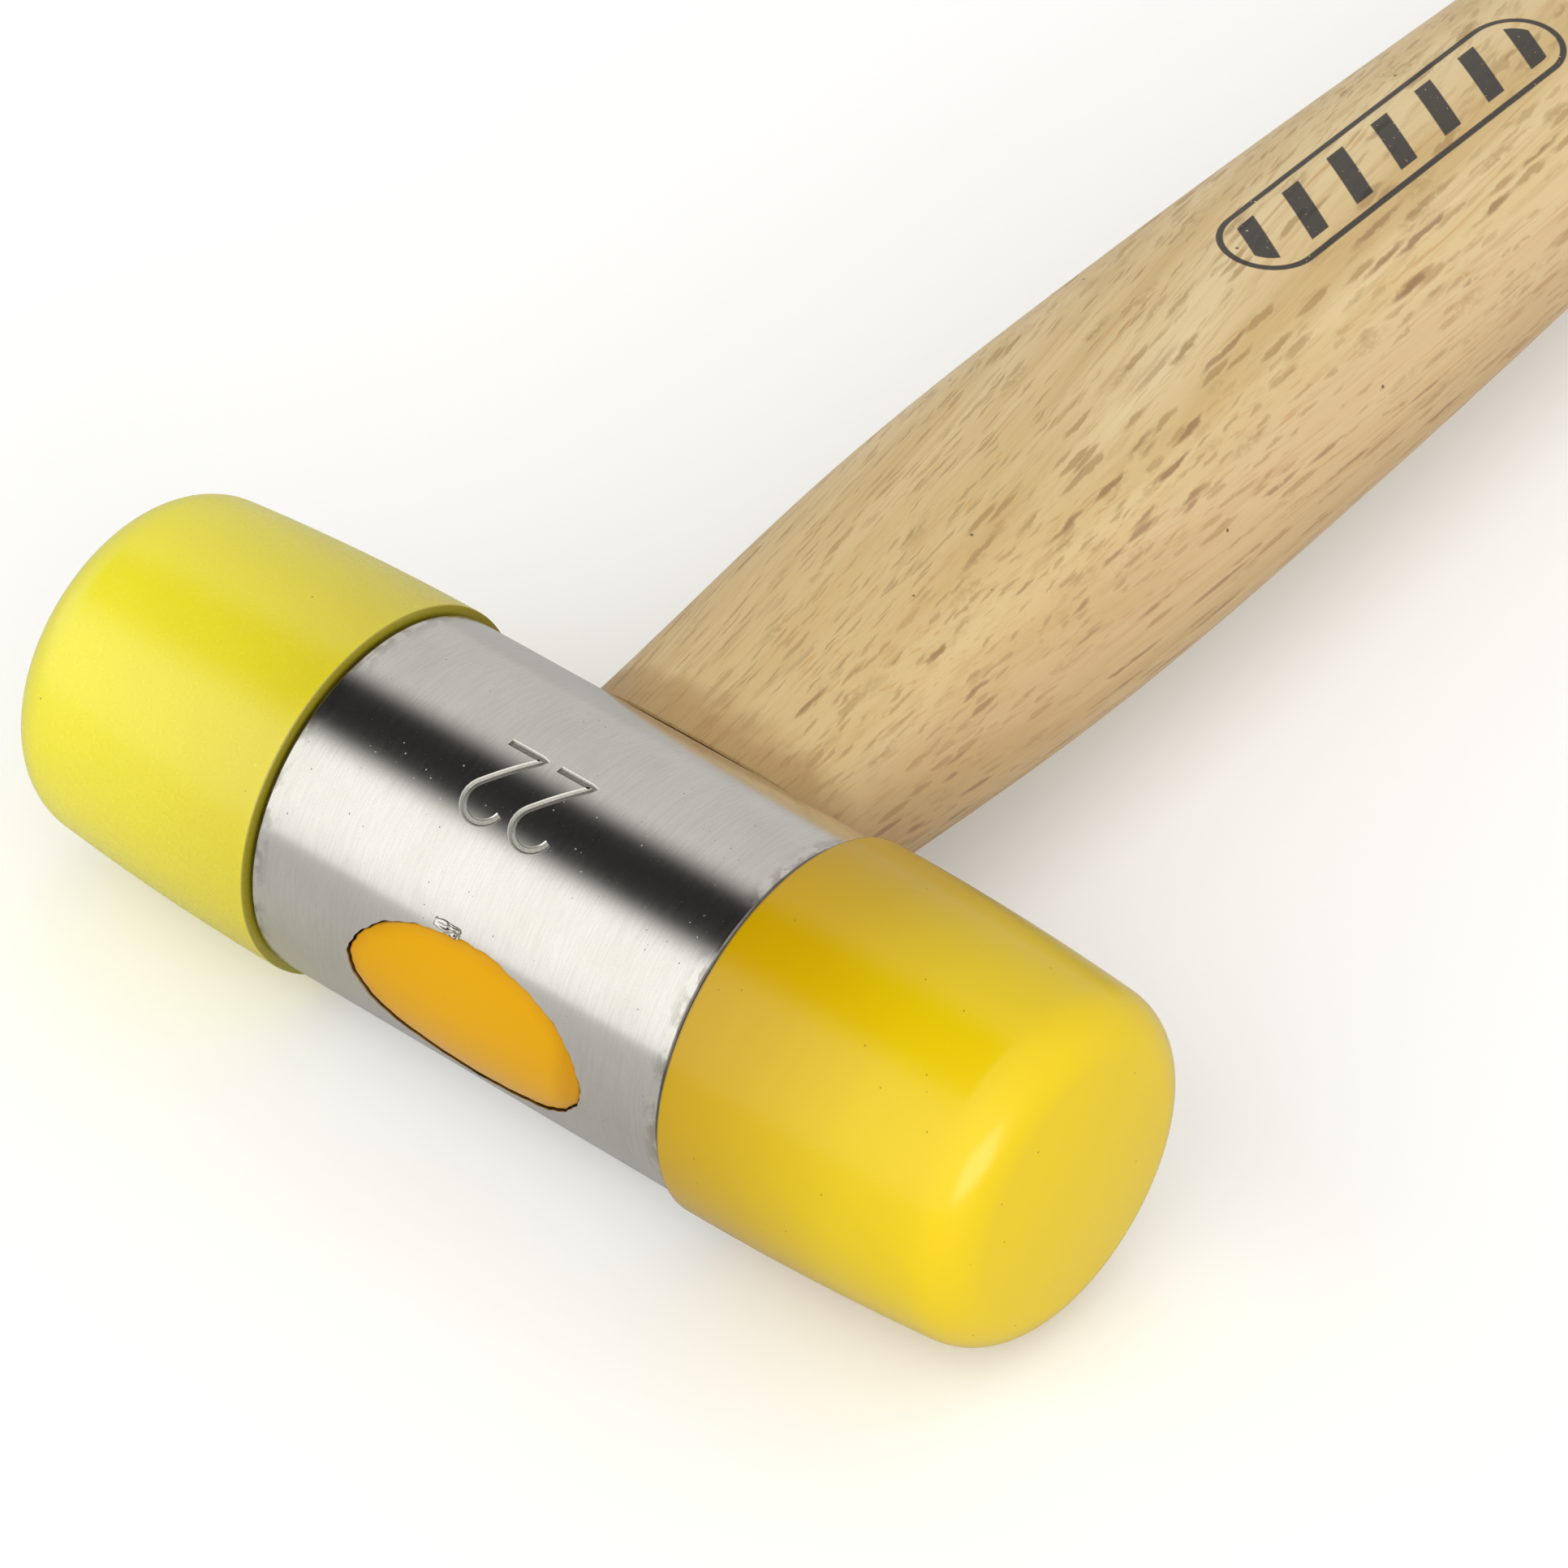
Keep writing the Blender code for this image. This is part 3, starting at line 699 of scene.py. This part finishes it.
def amber_plastic():
    plastic = Finish("amber_plastic", IOR=1.5, Specular_IOR_Level=0.42)
    cloud = plastic.noise(plastic.place, 0.14, 2.0)
    depth = (plastic.x - 15.0) / 20.0
    colour = plastic.ramp(depth + cloud * 0.12 - 0.06, (0.0, (0.50, 0.30, 0.0)),
                          (0.25, (0.56, 0.36, 0.0)), (0.6, (0.70, 0.50, 0.0)),
                          (0.9, (0.77, 0.55, 0.0)), (1.0, (0.77, 0.55, 0.002)))
    specks = plastic.cells(plastic.place, 0.62).step(0.05, 0.03)
    colour = plastic.mix(specks * 0.7, colour, (0.30, 0.16, 0.005))
    # Painted shade: the face's edge next to the tube is darkened, as the shade in the joint with
    # the tube.
    rim_shade = depth.step(0.012, 0.005)
    colour = plastic.mix(rim_shade * 0.7, colour, (0.13, 0.09, 0.01))
    grain = plastic.noise(plastic.place, 3.0, 3.0)
    rough = 0.18 + grain * 0.05
    return plastic.done(colour, rough, plastic.bump(grain, 0.0010))


def orange_resin():
    resin = Finish("orange_resin", IOR=1.5, Specular_IOR_Level=0.16)
    pool = resin.noise(resin.place, 0.22, 2.0)
    across = (resin.x - EYE_OFFSET) / EYE_HALF_WIDTH
    up = resin.z / EYE_HALF_HEIGHT
    edge = across * across + up * up
    colour = resin.ramp(edge + pool * 0.3 - 0.15, (0.0, (0.70, 0.35, 0.0)),
                        (0.7, (0.67, 0.33, 0.0)), (1.0, (0.56, 0.26, 0.0)))
    darker = (across + pool * 0.2).step(0.82, 1.0)
    colour = resin.mix(darker * 0.6, colour, (0.50, 0.22, 0.002))
    # Painted shade: a near-black line round the resin's edge, as the shade in the open line
    # against the steel.
    colour = resin.mix(edge.step(0.93, 0.995), colour, (0.10, 0.045, 0.004))
    grain = resin.noise(resin.place, 1.2, 2.0)
    return resin.done(colour, 0.12 + grain * 0.06, resin.bump(grain, 0.004))


def wood(name, marked):
    """Lacquered ash or oak: tan ground, long growth lines and short brown pores along Y."""
    timber = Finish(name, IOR=1.5, Specular_IOR_Level=0.4, Coat_Weight=0.12, Coat_Roughness=0.22)
    drift = timber.noise(timber.stretched(0.05, 0.012, 0.05), detail=2.0)
    x = timber.x + timber.y * (0.085 - timber.x * 0.0075) + drift * 6.0
    z = timber.z + timber.y * 0.02 + drift * 3.0
    grain = timber.join(x, timber.y, z)
    bands = timber.noise(timber.stretched(0.45, 0.008, 0.45, grain), detail=3.0)
    lines = timber.noise(timber.stretched(3.4, 0.05, 3.4, grain), detail=4.0, roughness=0.7)
    threads = timber.noise(timber.stretched(5.5, 0.035, 5.5, grain), detail=2.0)
    colour = timber.ramp(bands, (0.30, (0.59, 0.415, 0.18)), (0.5, (0.68, 0.51, 0.26)),
                         (0.7, (0.74, 0.59, 0.335)))
    near = timber.y.step(48.0, 18.0)
    colour = timber.mix(near * 0.5, colour, (0.60, 0.41, 0.165))
    colour = timber.mix(lines.step(0.45, 0.72) * 0.5, colour, (0.50, 0.32, 0.13))
    colour = timber.mix(threads.step(0.60, 0.72) * 0.55, colour, (0.52, 0.29, 0.09))
    fray = timber.noise(timber.stretched(2.5, 0.7, 2.5, grain), detail=3.0) * 0.35
    frayed = timber.join(x + fray, timber.y + fray * 3.0, z)
    dense = timber.noise(timber.stretched(0.22, 0.015, 0.22, grain), detail=2.0)
    patchy = timber.noise(timber.stretched(3.0, 1.4, 3.0), detail=4.0).step(0.35, 0.6)
    flecks = timber.cells(timber.stretched(0.85, 0.13, 0.7, frayed)).step(0.30, 0.12) * patchy
    pores = timber.cells(timber.stretched(1.9, 0.15, 1.2, frayed)).step(
        0.33, 0.18) * dense.step(0.34, 0.58)
    hair = timber.cells(timber.stretched(4.2, 0.26, 2.0, frayed)).step(
        0.38, 0.18) * dense.step(0.66, 0.42)
    streaks = timber.cells(timber.stretched(1.6, 0.075, 1.0, frayed)).step(
        0.26, 0.12) * timber.x.step(-2.0, 6.0)
    colour = timber.mix(flecks * 0.5, colour, (0.40, 0.27, 0.11))
    colour = timber.mix(pores * 0.6, colour, (0.33, 0.19, 0.07))
    colour = timber.mix(hair * 0.55, colour, (0.36, 0.22, 0.09))
    colour = timber.mix(streaks * 0.75, colour, (0.25, 0.13, 0.055))
    # Painted shade: the handle's +X side is darker and rosier, as the shade on that side of its
    # rounded section.
    side = timber.x.step(6.5, 10.0)
    colour = timber.mix(side * 0.35, colour, (0.46, 0.27, 0.15))
    stain = timber.noise(timber.stretched(0.4, 0.4, 0.4))
    soaked = (timber.y + stain * 3.0).step(14.8, 12.2)
    colour = timber.mix(soaked * 0.65, colour, (0.36, 0.20, 0.06))
    specks = timber.cells(timber.place, 0.24).step(0.035, 0.02)
    colour = timber.mix(specks * 0.8, colour, (0.06, 0.035, 0.02))
    rough = 0.40 + lines * 0.08 + pores * 0.2
    if marked:
        mark = printed_mark(timber)
        colour = timber.mix(mark, colour, (0.016, 0.016, 0.018))
    relief = pores * -0.6 + hair * -0.25 + lines * -0.2
    return timber.done(colour, rough, timber.bump(relief, 0.035))


def printed_mark(timber):
    """A plain printed lozenge with slanted bars, on the top of the handle."""
    middle, half_length, half_width = 75.0, 15.2, 3.0
    along = timber.y - middle
    across = timber.x + 0.6

    def size(value):
        return value.maths("ABSOLUTE", value)

    past = size(along) - (half_length - half_width)
    past = past.maths("MAXIMUM", past, 0.0)
    reach = (past * past + across * across) ** 0.5
    line = size(reach - half_width).step(0.26, 0.16)
    slant = (along + across * 0.6) / 4.4
    saw = slant.maths("FRACT", slant + 10.5)
    bars = size(saw - 0.5).step(0.20, 0.17)
    inside = reach.step(half_width - 0.85, half_width - 0.95)
    ink = timber.noise(timber.place, 4.0, 3.0).step(0.20, 0.34)
    top = timber.z.step(1.0, 1.5)
    both = line.maths("MAXIMUM", line, bars * inside)
    return both * ink * top * 0.95


def black_rubber():
    rubber = Finish("black_rubber")
    dust = rubber.noise(rubber.place, 2.0, 4.0)
    colour = rubber.mix(dust, (0.018, 0.018, 0.018), (0.045, 0.045, 0.043))
    return rubber.done(colour, 0.65 + dust * 0.2, rubber.bump(dust, 0.02))


def paint(piece, material):
    """Puts one material on the whole piece, and keeps the piece's slots."""
    if not piece.material_slots:
        piece.data.materials.append(material)
    for place in piece.material_slots:
        place.material = material


# ---- Studio --------------------------------------------------------------------------------

def studio():
    scene = bpy.context.scene
    scene.view_settings.view_transform = "Standard"
    scene.view_settings.look = "None"
    world = bpy.data.worlds.new("studio")
    scene.world = world
    world.use_nodes = True
    tree = world.node_tree
    back = tree.nodes["Background"]
    ray = node(tree, "ShaderNodeTexCoord", output=0)
    parts = node(tree, "ShaderNodeSeparateXYZ", inputs={0: ray}).socket.node.outputs
    x, y, z = (Value(tree, parts[i]) for i in range(3))
    turn = z.maths("ARCTAN2", z, y) / math.pi       # 0 behind the head, 0.5 overhead, 1 in front
    sky = node(tree, "ShaderNodeValToRGB", {"stops": (
        (0.00, (0.74, 0.73, 0.73)), (0.30, (0.80, 0.78, 0.77)), (0.50, (1.0, 1.0, 0.98)),
        (0.66, (1.46, 1.47, 1.44)), (0.88, (1.46, 1.47, 1.44)), (1.0, (1.28, 1.28, 1.25)))},
        {0: turn})
    # A dark strip overhead, which the steel mirrors as its dark band.
    gap = turn.step(0.35, 0.455) * turn.step(0.705, 0.595)
    gap = gap * x.step(-0.85, -0.75) * x.step(-0.15, -0.25)
    sky = node(tree, "ShaderNodeMix", {"data_type": "RGBA"},
               {0: gap, 6: sky, 7: (0.012, 0.012, 0.012, 1.0)}, output=2)
    # A lamp low on the right, for the highlight on the amber face's corner.
    lamp = x.step(0.58, 0.68) * z.step(0.0, 0.06) * z.step(0.52, 0.42) * y.step(-0.12, -0.22)
    sky = node(tree, "ShaderNodeMix", {"data_type": "RGBA"},
               {0: lamp, 6: sky, 7: (4.2, 4.2, 4.1, 1.0)}, output=2)
    tree.links.new(sky.socket, back.inputs["Color"])

    deselect()
    bpy.ops.mesh.primitive_plane_add(size=6.0, location=(0, 0, -0.0001))
    floor = bpy.context.object
    floor.name = "floor"
    pale = Finish("pale_floor")
    dust = pale.noise(pale.place, 0.02, 2.0)
    seen = pale.node("ShaderNodeLightPath")         # 1 where the camera sees the floor itself
    lit = pale.mix(dust, (0.91, 0.91, 0.91), (0.94, 0.94, 0.94))
    pale.shader.inputs["Emission Strength"].default_value = 0.12
    pale.tree.links.new(pale.mix(seen, (0.0, 0.0, 0.0), (1.0, 1.0, 1.0)).socket,
                        pale.shader.inputs["Emission Color"])
    paint(floor, pale.done(pale.mix(seen, (0.60, 0.60, 0.60), lit), 0.7 + dust * 0.1))


def camera():
    data = bpy.data.cameras.new("camera")
    data.lens = 179.02
    data.sensor_width = 36.0
    eye = bpy.data.objects.new("camera", data)
    eye.location = at(212.310, -227.991, 296.084)
    eye.rotation_euler = tuple(math.radians(turn) for turn in (47.298, 1.063, 39.920))
    data.clip_start = 0.01
    bpy.context.scene.collection.objects.link(eye)
    bpy.context.scene.camera = eye


# ---- The whole mallet ----------------------------------------------------------------------

studio()
camera()

steel = ground_steel()
tube = make_tube()
paint(tube, steel)
add(tube, "head", "ground_steel", "head_tube")

burr = make_burr()
paint(burr, steel)
add(burr, "head", "ground_steel")

resin = make_resin()
paint(resin, orange_resin())
add(resin, "head", "orange_resin", "eye_resin")

handle = make_handle()
paint(handle, wood("ash_wood", marked=True))
add(handle, "head", "ash_wood", "handle")

for side, sign, plastic in (("left", -1, lemon_plastic()), ("right", 1, amber_plastic())):
    face = make_face(f"{side}_face_moulded", sign)
    paint(face, plastic)
    add(face, f"{side}_face", f"{'lemon' if sign < 0 else 'amber'}_plastic", f"{side}_face")

pressed = plain_metal("pressed_steel", (0.45, 0.45, 0.46), (0.33, 0.33, 0.34), 0.30)
bright = plain_metal("steel_shot", (0.72, 0.72, 0.72), (0.58, 0.58, 0.59), 0.12)
rubber = black_rubber()
wedge = wood("wedge_wood", marked=False)
for name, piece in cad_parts.items():
    if "shot" in name:
        paint(piece, bright)
        ball = make_shot(name)
        paint(ball, bright)
        add(ball, name.split("_")[0] + "_charge", "steel_shot", name)
    elif "washer" in name:
        paint(piece, rubber)
    elif "wedge" in name:
        paint(piece, wedge)
    elif "plug" in name or "sleeve" in name:
        paint(piece, pressed)
